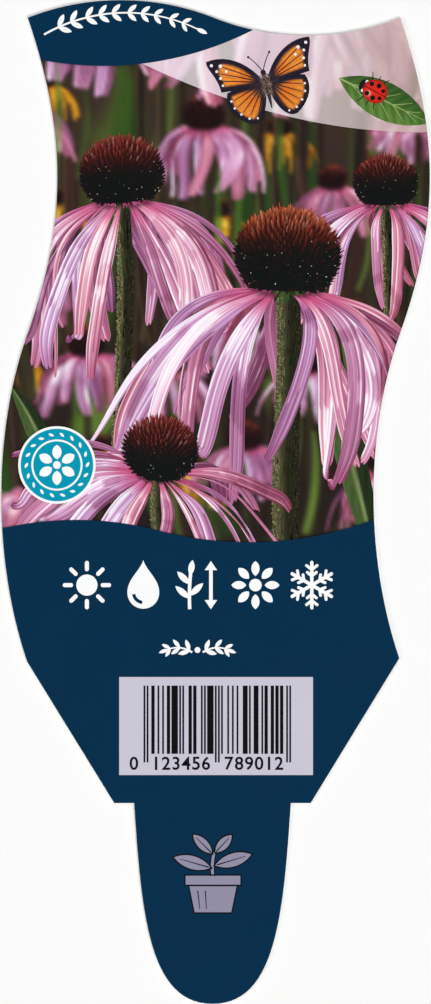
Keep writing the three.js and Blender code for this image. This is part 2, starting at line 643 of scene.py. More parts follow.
def solid(name, corners, faces, finish):
    """A mesh piece that rides on the label, from its corners in metres and a list of faces."""
    mesh = bpy.data.meshes.new(name)
    mesh.from_pydata(corners.tolist(), [], faces)
    mesh.materials.append(finish)
    mesh.update()
    piece = bpy.data.objects.new(name, mesh)
    bpy.context.scene.collection.objects.link(piece)
    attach(piece, "root")
    return piece


class Wire:
    """A number or colour that comes out of a node, so that shader maths reads as maths."""

    def __init__(self, finish, socket):
        self.finish, self.socket = finish, socket

    def maths(self, operation, *values):
        return self.finish.wire("ShaderNodeMath", {"operation": operation}, dict(enumerate(values)))

    def __add__(self, other):
        return self.maths("ADD", self, other)

    def __mul__(self, other):
        return self.maths("MULTIPLY", self, other)

    def __sub__(self, other):
        return self.maths("SUBTRACT", self, other)

    def __rsub__(self, other):
        return self.maths("SUBTRACT", other, self)

    __radd__ = __add__
    __rmul__ = __mul__


class Finish:
    """A material under construction. place is where a spot lies on its piece, in metres."""

    def __init__(self, name):
        self.material = bpy.data.materials.new(name)
        self.material.use_nodes = True
        self.nodes = self.material.node_tree.nodes
        self.place = self.wire("ShaderNodeTexCoord", output=3)

    def node(self, kind, settings=None, sockets=None):
        """A node of a kind, with its settings made first and then its sockets set or linked."""
        made = self.nodes.new(kind)
        for name, value in (settings or {}).items():
            setattr(made, name, value)
        for name, value in (sockets or {}).items():
            self.plug(made.inputs[name], value)
        return made

    def plug(self, socket, value):
        """Links a wire to a socket, or sets the socket to a plain value."""
        if isinstance(value, Wire):
            self.material.node_tree.links.new(value.socket, socket)
        else:
            socket.default_value = value

    def wire(self, kind, settings=None, sockets=None, output=0):
        """The output of a new node."""
        return Wire(self, self.node(kind, settings, sockets).outputs[output])

    def noise(self, size, detail=2.0, roughness=0.5, place=None):
        """Noise from 0 to 1 whose lumps are about size long, in the units of place."""
        sockets = {
            "Vector": place or self.place, "Scale": 1 / size, "Detail": detail, "Roughness": roughness,
        }
        return self.wire("ShaderNodeTexNoise", sockets=sockets)

    def mix(self, share, a, b, way="MIX"):
        """Colours a and b mixed by a share, or by one of the other ways of mixing."""
        settings = {"data_type": "RGBA", "blend_type": way}
        return self.wire("ShaderNodeMix", settings, {0: share, 6: a, 7: b}, output=2)

    def bumps(self, height, strength):
        """The normal of a face that is dented by up to a fiftieth of a millimetre."""
        sockets = {"Strength": strength, "Distance": 0.00002, "Height": height}
        return self.wire("ShaderNodeBump", sockets=sockets)

    def set(self, **values):
        """Sets or links the skin's sockets, and gives the material. An underscore is a space."""
        for name, value in values.items():
            self.plug(self.nodes["Principled BSDF"].inputs[name.replace("_", " ")], value)
        return self.material

    def printed(self, ink, tone):
        """Ink of a tone under the satin varnish, whose faint peel only a low light shows."""
        peel, blotch = self.noise(0.0009), self.noise(0.011, detail=1.0)
        return self.set(
            Base_Color=self.mix(1.0, ink, tone, way="MULTIPLY"),
            Roughness=0.36 + (blotch - 0.5) * 0.1 + (peel - 0.5) * 0.05,
            Normal=self.bumps(peel, 0.1), IOR=1.45, Specular_IOR_Level=0.08,
        )


def flat_ink(name, colour):
    """One flat printing ink, with the slight unevenness of a real solid print."""
    finish = Finish(name)
    fine = finish.noise(0.0004, detail=3.0, roughness=0.7)
    return finish.printed((*shade(colour), 1.0), 0.95 + fine * 0.06 + finish.noise(0.014) * 0.04)


def picture_ink(name, streaks=0.0, grain=0.12, shine=0.0):
    """Full-colour print: the colour at each point, with fine grain and streaks along petals."""
    finish = Finish(name)
    ink = finish.wire("ShaderNodeAttribute", {"attribute_name": "ink"})
    tone = 1 - grain / 2 + finish.noise(0.00022, roughness=0.8) * grain
    if streaks:
        follows = finish.wire("ShaderNodeAttribute", {"attribute_name": "grain"}, output=1)
        lines = finish.noise(1.0, detail=4.0, roughness=0.62, place=follows)
        tone = tone + (lines - 0.5) * streaks
        ink = finish.mix((lines - 0.6) * shine, ink, (1.0, 0.84, 0.91, 1.0))
    return finish.printed(ink, tone)


def white_plastic():
    """The bare sheet: white polypropylene with a fine satin grain."""
    finish = Finish("white_plastic")
    cloud, pores = finish.noise(0.02, detail=3.0), finish.noise(0.0003, detail=3.0, roughness=0.7)
    return finish.set(
        Base_Color=finish.mix(cloud, (0.80, 0.80, 0.79, 1.0), (0.86, 0.86, 0.85, 1.0)),
        Roughness=0.38 + (pores - 0.5) * 0.16, Normal=finish.bumps(pores, 0.2), IOR=1.49,
        Subsurface_Weight=0.15, Subsurface_Scale=0.0008,
    )


def studio_floor():
    """Matt white paper for the label to lie on."""
    finish = Finish("floor_paper")
    fibre = finish.noise(0.004, detail=4.0)
    tone = finish.mix(fibre, (0.955, 0.955, 0.945, 1.0), (0.975, 0.975, 0.965, 1.0))
    return finish.set(Base_Color=tone, Roughness=0.9, Specular_IOR_Level=0.0)


class Garden:
    """The unsharp garden behind the flowers, painted with soft smears from back to front."""

    def __init__(self):
        self.smears = []

    def smear(self, path, width, colour, soft=1.0, strength=1.0):
        """A soft stroke along a path. soft is how wide its edge is.

        width is one number, or a number at each of the path's points. So is the colour."""
        path = np.asarray(path, float)
        count = len(path)
        widths = np.interp(np.arange(count), np.linspace(0, count - 1, np.size(width)), np.ravel(width))
        colours = np.broadcast_to(np.asarray(colour, float), (count, 3))
        self.smears.append((path, widths, colours, soft, strength))

    def soft_colours_at(self, points):
        """The mean colour round each point, so that no edge is finer than the mesh can carry."""
        reach = 0.2
        around = [(reach, reach), (-reach, reach), (-reach, -reach), (reach, -reach)]
        return sum(self.colours_at(points + step) for step in around) / len(around)

    def colours_at(self, points):
        """The painting's colour at each point."""
        found = blend((38, 30, 27), (60, 48, 39), ease(points[:, 1], -8, 84))
        for path, widths, colours, soft, strength in self.smears:
            reach = widths.max() / 2 + soft
            near = ((points > path.min(0) - reach) & (points < path.max(0) + reach)).all(1)
            if not near.any():
                continue
            step = np.diff(path, axis=0)
            rel = points[near][:, None] - path[:-1]
            place = ((rel * step).sum(2) / (step * step).sum(1)).clip(0, 1)
            gap = np.linalg.norm(rel - place[..., None] * step, axis=2)
            closest = gap.argmin(1)
            t = closest + place[np.arange(len(closest)), closest]
            edge = gap.min(1) - np.interp(t, range(len(path)), widths) / 2
            share = strength * (1 - ease(edge, -soft / 2, soft / 2))
            found[near] = blend(found[near], along(colours, t), share)
        return found


def painted_garden(seed):
    """Foliage, stalks, far yellow flowers and far coneflowers, all out of focus."""
    rng = np.random.default_rng(seed)
    garden = Garden()

    def stalk(low, tall, lean, width, colours, soft, strength=1.0):
        colour = colours[rng.integers(len(colours))]
        if strength is None:
            strength = rng.uniform(0.4, 0.9)
        x, foot, climb = rng.uniform(-38, 38), rng.uniform(*low), rng.uniform(*tall)
        lean = rng.uniform(-lean, lean)
        path = curve((x, foot), (x + lean, foot + climb / 2), (x + lean * 0.5, foot + climb), steps=6)
        wide = rng.uniform(*width)
        widths = wide * np.array([1.0, 1.1, 0.9, rng.uniform(0.1, 0.6)])
        garden.smear(path, widths, jitter(rng, colour, 0.22), rng.uniform(*soft), strength)
        return path

    for _ in range(FAR_LEAVES):
        stalk((-12, 66), (6, 22), 6, (1.5, 6), FOLIAGE, (1.8, 4.2), None)
    for x, y, length, soft in FAR_YELLOWS:
        far_bloom(garden, rng, (x, y), length, soft, YELLOW_TONES, (170, 84, 24), (110, 56, 26))
    for _ in range(FAR_STALKS):
        path = stalk((-12, 40), (30, 80), 9, (0.8, 2.6), DARK_STALKS, (0.6, 1.6))
        garden.smear(path - (0.5, 0), 0.3, jitter(rng, (96, 84, 52), 0.3), 0.8, 0.5)
    for x, y, length, soft in FAR_BLOOMS:
        far_bloom(garden, rng, (x, y), length, soft)
        for _ in range(2):
            stalk((-12, 60), (8, 26), 3, (0.4, 1.4), FOLIAGE, (0.6, 1.6), 0.7)
    return garden


def far_bloom(garden, rng, centre, length, soft, tones=PETAL_TONES, root=(190, 62, 106),
              crown=(152, 52, 44), dark=(30, 16, 18)):
    """An unsharp coneflower, painted from the shape of a sharp one."""
    x, y = centre
    wide = length * 0.46
    bloom = Bloom(centre, rng.integers(1000), cone=(wide, wide * 0.85), length=length,
                  width=length * 0.125, leans=(15, 78), tones=tones, root=root, light=-0.06)
    turns = [2 * math.pi * (k + 0.3) / FAR_PETALS for k in range(FAR_PETALS)]
    petals = sorted((bloom.petal(turn) for turn in turns), key=lambda petal: petal[0])
    for k, (_, (points, _), values, _) in enumerate(petals):
        if k == FAR_PETALS // 2 and y < 80:
            garden.smear([centre, (x + 0.5, y - length * 2.4)], wide * 0.2, (52, 50, 32), soft)
        rows = points.reshape(PETAL_ROWS, PETAL_COLUMNS, 2)[::4]
        colours = values[:, :3].reshape(PETAL_ROWS, PETAL_COLUMNS, 3)[::4]
        taper = blend(1.05, 0.85, ease(np.linspace(0, 1, len(rows)), 0.7, 1.0))
        widths = np.linalg.norm(rows[:, 0] - rows[:, -1], axis=1) / 2.4 * taper
        for column in (PETAL_COLUMNS - 3, 2, PETAL_COLUMNS // 2):
            garden.smear(rows[:, column], widths, colours[:, column], soft * 0.55)
    garden.smear([(x - wide * 0.14, y), (x + wide * 0.14, y)], wide * 0.68, dark, soft)
    places, high = dome_points(FAR_SPINES)
    base = bloom.seen(places * (wide * 0.44, wide * 0.38, wide * 0.44))
    steps = bloom.seen(places * 0.7 + (0, 0.5, 0)) * wide * 0.10
    for i in np.argsort(base[:, 2]):
        if base[i, 2] > -0.1 * wide:
            lit = ease(high[i] + rng.uniform(-0.3, 0.3), 0.0, 1.1)
            foot = base[i, :2] + centre
            stroke = [foot, foot + steps[i, :2]]
            garden.smear(stroke, wide * 0.035, blend(dark, crown, lit), soft * 0.4, 0.85)


def dome_points(count):
    """Points of a unit dome in a sunflower spiral from its top, and how high each is."""
    i = np.arange(count)
    high = 1 - 1.72 * (i + 0.5) / count
    ring = np.sqrt(np.clip(1 - high ** 2, 0, 1))
    turn = i * math.pi * (3 - math.sqrt(5))
    return np.stack([ring * np.cos(turn), high, ring * np.sin(turn)], 1), high


class Bloom:
    """A coneflower, thought out in the round and pressed flat into the picture.

    In the round, x is to the right, y is up its stem and z is towards the viewer. leans are how
    far below level a petal points at its root and at its tip, and parting is half the gap that
    the petals leave for the stem. These, tilt and roll are in degrees."""

    def __init__(self, centre, seed, cone, length, width, leans, petals=21, tilt=8.0, roll=0.0,
                 tones=PETAL_TONES, root=(198, 66, 116), spines=460, light=0.0, parting=0.0):
        self.centre, self.cone, self.petals = np.array(centre), cone, petals
        self.length, self.width, self.leans = length, width, leans
        self.tones, self.root, self.spines, self.light = tones, root, spines, light
        self.parting = math.radians(parting)
        self.rng, self.casts = np.random.default_rng(seed), np.random.default_rng(seed + 500)
        cos, sin = np.cos(np.radians((tilt, roll))), np.sin(np.radians((tilt, roll)))
        lean = np.array([[1, 0, 0], [0, cos[0], -sin[0]], [0, sin[0], cos[0]]])
        self.turn = np.array([[cos[1], -sin[1], 0], [sin[1], cos[1], 0], [0, 0, 1]]) @ lean

    def seen(self, points):
        """Points in the round as the viewer sees them, with z as their nearness."""
        return points @ self.turn.T

    def petal(self, azimuth):
        """One petal: its nearness, its shape, values at its points and the kind of its grain.

        azimuth is where it stands round the cone, in radians. The values are a colour, the place
        that the grain follows, the height in the film and the place in its box of the map."""
        rng = self.rng
        u = np.linspace(-1, 1, PETAL_COLUMNS)[None]
        v = np.linspace(0, 1, PETAL_ROWS)[:, None]
        length = self.length * rng.uniform(0.78, 1.08)
        half = self.width / 2 * rng.uniform(0.72, 1.15)
        notch = 0.02 * np.exp(-((u - rng.uniform(-0.4, 0.4)) / 0.2) ** 2)
        reach = v * (1 - 0.035 * np.abs(u) ** 3 - notch)

        # Its middle line leans more and more, and the tips of some petals curl up.
        s = np.linspace(0, 1, PETAL_STEPS)
        start, end = self.leans[0] + rng.uniform(-9, 9), self.leans[1] + rng.uniform(-14, 12)
        lean = start + (end - start) * ease(s, 0, rng.uniform(0.55, 1.0))
        curl = self.casts.uniform(110, 190) * (self.casts.random() < CURLED_SHARE)
        lean = np.radians(lean + rng.uniform(-30, 36) * ease(s, 0.7, 1.0) - curl * ease(s, 0.84, 1.02))
        out, down = (
            np.concatenate([[0], np.cumsum(step[:-1])]) / (PETAL_STEPS - 1) * length
            for step in (np.cos(lean), np.sin(lean))
        )
        turn = azimuth + math.radians(rng.normal(0, 12)) * reach ** 2
        radius = self.cone[0] * 0.27 + np.interp(reach, s, out)
        lean = np.interp(reach, s, lean)
        cos, sin = np.cos(turn), np.sin(turn)
        fall = -np.interp(reach, s, down) - self.cone[1] * 0.36
        middle = np.stack([radius * cos, fall, radius * sin], -1)
        ahead = np.stack([cos * np.cos(lean), -np.sin(lean), sin * np.cos(lean)], -1)
        side = np.stack([-sin, np.zeros_like(sin), cos], -1)
        up = np.cross(side, ahead)
        twist = math.radians(rng.uniform(30, 58)) * abs(math.cos(azimuth)) * rng.choice([-1, 1])
        twist = twist + math.radians(rng.uniform(-18, 18)) + math.radians(rng.uniform(-50, 50)) * (v - 0.4)
        cos, sin = np.cos(twist)[..., None], np.sin(twist)[..., None]
        side, up = side * cos + up * sin, up * cos - side * sin
        broad = half * (0.34 + 0.66 * ease(reach, 0, 0.36)) * (1 - 0.36 * ease(reach, 0.80, 1.0))
        cup = rng.uniform(-0.5, 0.3) * u ** 2
        cup = cup + rng.uniform(0.02, 0.05) * np.cos(CUP_LINES * np.pi * u + rng.uniform(0, 6))
        sway = 0.2 * ripple(rng, reach, 4, 9)
        points = middle + side * (broad * (u + sway))[..., None] + up * (broad * cup)[..., None]
        points, middle = self.seen(points), self.seen(middle)

        normal = unit(np.cross(np.gradient(points, axis=1), np.gradient(points, axis=0)))
        normal *= np.where(normal[..., 2:] < 0, -1, 1)
        light = 0.515 + 0.44 * (normal @ LIGHT_FROM)
        light += 0.045 * ripple(rng, u, 6, 8) + 0.045 * ripple(rng, u, 12, 17)
        # Ridges run down the petal, each bright on one side of a sharp fold and dark on the other.
        folds = (u * rng.uniform(0.9, 1.6) + rng.uniform(0, 1) + rng.uniform(-0.3, 0.3) * reach) % 1
        light += 0.20 * (folds - 0.5) + rng.uniform(-0.18, 0.10) + self.light
        light += 0.20 * ease(folds, 0.76, 0.96) - 0.17 * (1 - ease(folds, 0.0, 0.14))
        # The border turned to the light is bright, and the other one lies in shade.
        span = points[:, -1, :2] - points[:, 0, :2]
        shady = u * np.sign(span @ (0.6, -0.8))[:, None]
        light += 0.14 * ease(shady, 0.90, 1.0) - 0.28 * ease(shady, 0.56, 0.86)
        light += 0.18 * ease(-shady, 0.74, 0.94) - 0.10 * (points[..., 2] < 0)
        light += 0.06 * ripple(rng, reach, 3, 7) + self.cast_light(u, reach)
        light += 0.15 * ease(light, 0.84, 1.0)
        tint = blend((1.03, 0.93, 0.91), (0.93, 0.98, 1.08), rng.random())
        stops, tones = zip(*self.tones)
        colour = along(tones, light, stops) * blend(tint, (1, 1, 1), 0.75 * ease(light, 0.86, 1.04))
        colour = blend(colour, self.root, 0.85 * (1 - ease(reach, 0.05, 0.27)) * rng.uniform(0.6, 1))
        colour = blend(colour, np.array(self.root) * 0.35, 0.75 * (1 - ease(reach, 0.0, 0.06)))
        colour = blend(colour, colour * (0.98, 0.84, 0.88), 0.8 * ease(reach, 0.86, 1.0)).clip(0, 255)

        grain = np.stack([u * half / 0.42 + 0 * v, reach * length / 10.0], -1)
        flat = points[..., :2].reshape(-1, 2) + self.centre
        # Where a petal is folded over itself, its nearer part lies higher within its film.
        lift = 0.25 * (1 + ((points - middle)[..., 2] / half).clip(-1, 1))
        lift = lift + (0.8 * ease(reach, 0.84, 1.0) if curl else 0)
        plan = np.stack([u * half + 0 * v, v * length + 0 * u], -1)
        values = np.concatenate([colour, grain, lift[..., None], plan], -1).reshape(-1, 8)
        shape = flat, facing_up(flat, patch(PETAL_ROWS, PETAL_COLUMNS))
        return points[..., 2].mean(), shape, values, rng.uniform(0, 90)

    def cast_light(self, u, reach):
        """How other petals darken this one with their shadows, or let streaks of sun fall on it."""
        casts, change = self.casts, np.zeros_like(reach)
        for chance, low, high in ((0.6, -0.20, -0.08), (0.35, -0.16, -0.08), (0.55, 0.12, 0.26)):
            start, span = casts.uniform(0.10, 0.75), casts.uniform(0.05, 0.26)
            place = reach + u * casts.uniform(-0.05, 0.05)
            within = ease(place, start, start + 0.02) * (1 - ease(place, start + span, start + span + 0.02))
            streaks = ease(ripple(casts, u, 5, 10), -0.1, 0.5)
            amount = casts.uniform(low, high) * (casts.random() < chance)
            change = change + amount * within * (streaks if low > 0 else 1)
        return change

    def lay_petals(self, inks, lay_stem):
        """Lays the petals from the furthest to the nearest, and the stem among them."""
        turns = (np.arange(self.petals) + 0.5 + self.rng.uniform(-0.34, 0.34, self.petals)) / self.petals
        round_stem = 2 * (math.pi - self.parting)
        made = [self.petal(math.pi / 2 + self.parting + t * round_stem) for t in turns]
        for nearness, shape, values, kind in sorted(made, key=lambda petal: petal[0]):
            if lay_stem is not None and nearness > 0:
                lay_stem()
                lay_stem = None
            level = STACK.rest(*shape, 2) + values[:, 5]
            inks.lay(shape, level, values[:, :3], values[:, 3:5], kind, bleeds=True, plan=values[:, 6:])

    def lay_cone(self, inks, crown=(172, 66, 54), belly=(96, 26, 30), dark=(17, 20, 20)):
        """Lays the cone: a dark dome and the spines that stand out of it."""
        rng = self.rng
        wide, tall = self.cone
        half = np.array([wide / 2, tall / 2, wide / 2])
        dome = self.seen(dome_points(DOME_POINTS)[0] * half * 0.9)[:, :2] + self.centre
        points, triangles = meshed(hull(dome), 0.8)
        rise = ease((points - self.centre)[:, 1] / tall, -0.1, 0.5)
        level = STACK.rest(points, triangles, SPINE_LEVELS + 1)
        inks.lay((points, triangles), level, blend(dark, (58, 22, 20), rise), bleeds=True)

        places, high = dome_points(self.spines)
        normal = unit(places / half)
        stand = normal * 0.75 + (0, 0.5, 0) + rng.normal(0, 0.07, places.shape)
        length = wide * 0.088 * rng.uniform(0.8, 1.2, (len(places), 1))
        base = self.seen(places * half * 0.9)
        tip = self.seen(places * half * 0.9 + stand * length)
        shown = np.flatnonzero(self.seen(normal)[:, 2] > -0.3)
        shown = shown[np.argsort(base[shown, 2])]
        for order, i in enumerate(shown):
            step = (tip[i] - base[i])[:2]
            short = max(wide * 0.03 - np.hypot(*step), 0)
            step = step + step / max(np.hypot(*step), 1e-6) * short
            side = across_of(step[None])[0] * wide * rng.uniform(0.010, 0.016)
            foot = base[i, :2] + self.centre
            belt = step * 0.55
            spine = foot + np.array([-side, side, side * 0.8 + belt, step, belt - side * 0.8])
            lit = ease(high[i] + 1.6 * (step @ (-0.5, 0.86)) / wide, 0.08, 1.05)
            lit = np.clip(lit + rng.uniform(-0.22, 0.22), 0, 1)
            point = blend(blend(dark, belly, min(lit * 2, 1)), crown, max(lit * 2 - 1, 0))
            if lit > 0.72 and rng.random() < 0.3:
                point = blend(point, (250, 200, 176), rng.uniform(0.25, 0.6))
            low = blend(dark, (48, 16, 16), lit)
            colours = np.array([low, low, blend(low, point, 0.6), point, blend(low, point, 0.3)])
            height = level + order / len(shown) * SPINE_LEVELS
            faces = np.array([(0, 1, 2), (0, 2, 4), (4, 2, 3)])
            inks.lay((spine, faces), height + 1, colours, bleeds=True)
            if lit < 0.3 and rng.random() < 0.14:
                size = wide * rng.uniform(0.002, 0.006)
                speck = filled(ellipse(foot + step, size, size * 1.8, rng.uniform(0, 180), steps=6))
                inks.lay(speck, height + 1.6, jitter(rng, (168, 156, 128), 0.25), bleeds=True)


def stem_light(across):
    """How brightly a stem is lit, from its left side at -1 to its right side at 1."""
    return 0.60 + 0.9 * np.exp(-((across + 0.66) / 0.5) ** 2)


def lay_stem(inks, path, width, tip_width, rng):
    """A round stem, lit from the left, with fine streaks and with hairs along both its sides."""
    points, triangles, places = ribbon(path, width, tip_width, columns=13)
    across = places[:, 0]
    light = stem_light(across) * (1 + 0.07 * np.sin(across * 13 + 2) + 0.05 * np.sin(across * 29))
    length = length_of(path)
    grain = places * (width / 0.36, length / 1.8)
    level = STACK.rest(points, triangles, 2)
    colours = np.clip(np.outer(light, (58, 58, 38)), 0, 255)
    inks.lay((points, triangles), level, colours, grain, rng.uniform(0, 90), bleeds=True,
             plan=places * (width / 2, length))
    side = across_of(np.gradient(path, axis=0))
    last = len(path) - 1
    for _ in range(int(length * STREAKS_PER_MM)):
        t, reach, aside = rng.uniform(0, 0.97), rng.uniform(0.01, 0.05), rng.uniform(-0.46, 0.46)
        i = np.linspace(t, min(t + reach, 1), 4) * last
        streak = along(path, i) + side[round(i[0])] * blend(width, tip_width, t) * aside
        tone = np.array(STEM_TONES[rng.integers(len(STEM_TONES))]) * stem_light(-2 * aside)
        mark = ribbon(streak, rng.uniform(0.10, 0.30), 0.05)
        inks.lay(mark, level + 0.9, jitter(rng, tone, 0.15), bleeds=True)
    for _ in range(int(length * HAIRS_PER_MM)):
        t = rng.uniform(0, 1)
        out = side[round(t * last)] * (1 if rng.random() < 0.65 else -1)
        root = along(path, t * last) + out * blend(width, tip_width, t) * rng.uniform(0.12, 1) ** 0.4 * 0.5
        tip = root + out * rng.uniform(0.1, 0.35) + (0, rng.uniform(-0.35, 0.45))
        hair = ribbon([root, (root + tip) / 2, tip], 0.12, 0.04)
        shine = (136, 136, 92) if out[0] < 0 else (66, 64, 40)
        inks.lay(hair, level + 1.2, jitter(rng, shine, 0.25), bleeds=True)
    for lean in np.linspace(-1, 1, 7):
        root = path[-1] + (lean * tip_width * 0.45, 0.6)
        tip = root + (lean * tip_width * 0.5 + rng.uniform(-0.2, 0.2), -tip_width * rng.uniform(0.5, 0.8))
        bract = filled(lens(root, tip, tip_width * 0.2))
        inks.lay(bract, level + 1, jitter(rng, (50, 70, 34), 0.3), bleeds=True)


def veined(colours, phase):
    """Colours with the faint stripes of a leaf's veins."""
    return colours * (0.86 + 0.2 * (0.5 + 0.5 * np.sin(phase)))[:, None]


def lay_leaf(inks, path, width, rng):
    """A lance-shaped leaf with a pale midrib, darker on one half."""
    t = np.linspace(0, 1, len(path))
    swell = width * np.sin(np.pi * t ** 0.8) ** 0.8 + 0.05
    points, triangles, places = ribbon(path, swell, columns=9)
    across, run = places.T
    colours = blend((74, 98, 52), (36, 50, 28), ease(across, -0.15, 0.25))
    colours = veined(colours, run * 60 - np.abs(across) * 9)
    colours = blend(colours, (138, 150, 96), 0.8 * (1 - ease(np.abs(across), 0.02, 0.16)))
    level = STACK.rest(points, triangles)
    inks.lay((points, triangles), level, colours, places * (3, 6), rng.uniform(0, 90), bleeds=True,
             plan=places * (width / 2, length_of(path)))


def make_sheet(sizes):
    """The sheet: its cut outline with softened edges, and a tray in its face for the print."""
    turns = np.radians(np.linspace(90, 0, 4))
    rings = []
    for radius, base, rise in ((sizes.back_round, 0.0, 1), (sizes.face_round, FACE_HEIGHT, -1)):
        radius /= MM
        steps = [(radius * (1 - math.cos(t)), base + rise * radius * (1 - math.sin(t))) for t in turns]
        rings += steps if rise > 0 else steps[::-1]
    rings += [(RIM, FACE_HEIGHT), (RIM, FACE_HEIGHT - sizes.ink_depth / MM)]
    count, last = len(OUTLINE), len(rings) - 1
    corners = [np.column_stack([drawn_in(OUTLINE, d), np.full(count, z)]) for d, z in rings]
    a = np.arange(count)
    b = (a + 1) % count
    faces = []
    for k in range(last):
        low, high = k * count, (k + 1) * count
        faces += np.stack([a + low, b + low, b + high, a + high], 1).tolist()
    _, cap = filled(corners[0][:, :2])
    faces += cap[:, ::-1].tolist() + (cap + last * count).tolist()
    piece = solid("plastic_sheet", np.concatenate(corners) * MM, faces, white_plastic())
    piece.data.polygons.foreach_set("use_smooth", np.arange(len(faces)) < count * (last - 2))
    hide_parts(SHEET)


def make_backdrop(choices):
    """The picture's unsharp garden and the pale band across its head."""
    garden = painted_garden(choices.garden_seed)

    def veiled(points):
        veil = blend((243, 236, 241), (200, 180, 170), ease(points[:, 0], 6, 40))
        return blend(garden.soft_colours_at(points), veil, 0.75)

    band_line = np.concatenate([[(-17.0, 95.0)], curve(*BAND_CURVE, steps=40), [(45.0, 63.6)]])
    for name, line, level, colours_at, look in (
            ("garden", wave(), 0, garden.soft_colours_at, {"streaks": 0.45}),
            ("band", band_line, BAND_LEVEL, veiled, {"grain": 0.06})):
        inks = Inks("picture_" + name, "picture_ink", picture_ink(name + "_print", **look))
        points, triangles = meshed(part_of(PRINT_BORDER, line), choices.garden_pitch / MM)
        inks.lay((points, triangles), level, colours_at(points), points / (1.5, 5), plan=points)
        inks.print_on()


def make_flowers(choices):
    """The sharp coneflowers: stems, petals and cones."""
    seed = choices.flower_seed
    rng = np.random.default_rng(seed)
    green = Inks("flower_stems", "picture_ink", picture_ink("stem_print", streaks=1.1))
    lay_leaf(green, curve((27.5, -12), (24, 8), (17, 22), (21, 36)), 5.2, rng)
    lay_leaf(green, curve((-26.0, -12), (-24, 2), (-31, 14), (-35, 20)), 4.6, rng)

    def flower(name, bloom, path, width, tip_width, **cone_inks):
        inks = Inks(name, "picture_ink", picture_ink(name + "_print", streaks=0.7, shine=2.4))
        bloom.lay_petals(inks, lambda: lay_stem(green, path, width, tip_width, rng))
        bloom.lay_cone(inks, **cone_inks)
        inks.print_on()

    flower("bloom_right",
           Bloom((29.0, 54.0), seed + 3, cone=(11.0, 9.6), petals=23, length=25.0, width=2.4,
                 leans=(20, 80), spines=520, light=-0.05, parting=6),
           curve((31.0, -10), (29.0, 12), (30.6, 30), (29.0, 50)), 2.4, 2.0)
    flower("bloom_left",
           Bloom((-15.9, 55.5), seed + 1, cone=(14.5, 12.6), petals=27, length=33.0, width=2.9,
                 leans=(26, 80), roll=4, light=-0.02, spines=620, parting=6),
           curve((-16.0, -12), (-17.5, 10), (-14.0, 30), (-15.9, 50)), 3.0, 2.6)
    flower("bloom_hero",
           Bloom((12.3, 41.5), seed + 4, cone=(choices.cone_width / MM, 16.0), petals=choices.petals,
                 length=choices.petal_length / MM, width=3.2, leans=(16, 80), tilt=6, roll=-3,
                 spines=900, parting=12),
           curve((12.4, -12), (11.0, 5), (13.2, 20), (12.3, 36)), 4.7, 4.0,
           crown=(218, 102, 58), belly=(116, 34, 26))
    flower("bloom_low",
           Bloom((-9.5, 8.5), seed + 2, cone=(13.0, 11.0), petals=25, length=25.0, width=2.9,
                 leans=(4, 46), tilt=26, roll=-8, spines=620, parting=5),
           curve((-9.0, -12), (-10.0, 0), (-9.5, 6)), 3.0, 2.8)
    green.print_on()


class Insect:
    """An insect that is drawn round the origin, then sized, turned and moved to its place."""

    def __init__(self, inks, centre, size, tilt):
        self.inks, self.centre, self.size, self.tilt = inks, centre, size, tilt

    def place(self, points):
        """Drawn points where they lie on the label."""
        return moved(points, self.centre, self.tilt, self.size)

    def drawn(self, points):
        """Points on the label where they were drawn."""
        return moved(points - self.centre, tilt=-self.tilt, size=1 / self.size)

    def fill(self, loop, rise, colour):
        """Fills a drawn loop, rise levels above the leaf."""
        self.inks.lay(filled(self.place(loop)), INSECT_LEVEL + rise, colour)

    def stroke(self, path, rise, colour, width, tip_width=None):
        """Draws a line along a drawn path, with its width in millimetres."""
        self.inks.lay(ribbon(self.place(path), width, tip_width), INSECT_LEVEL + rise, colour)


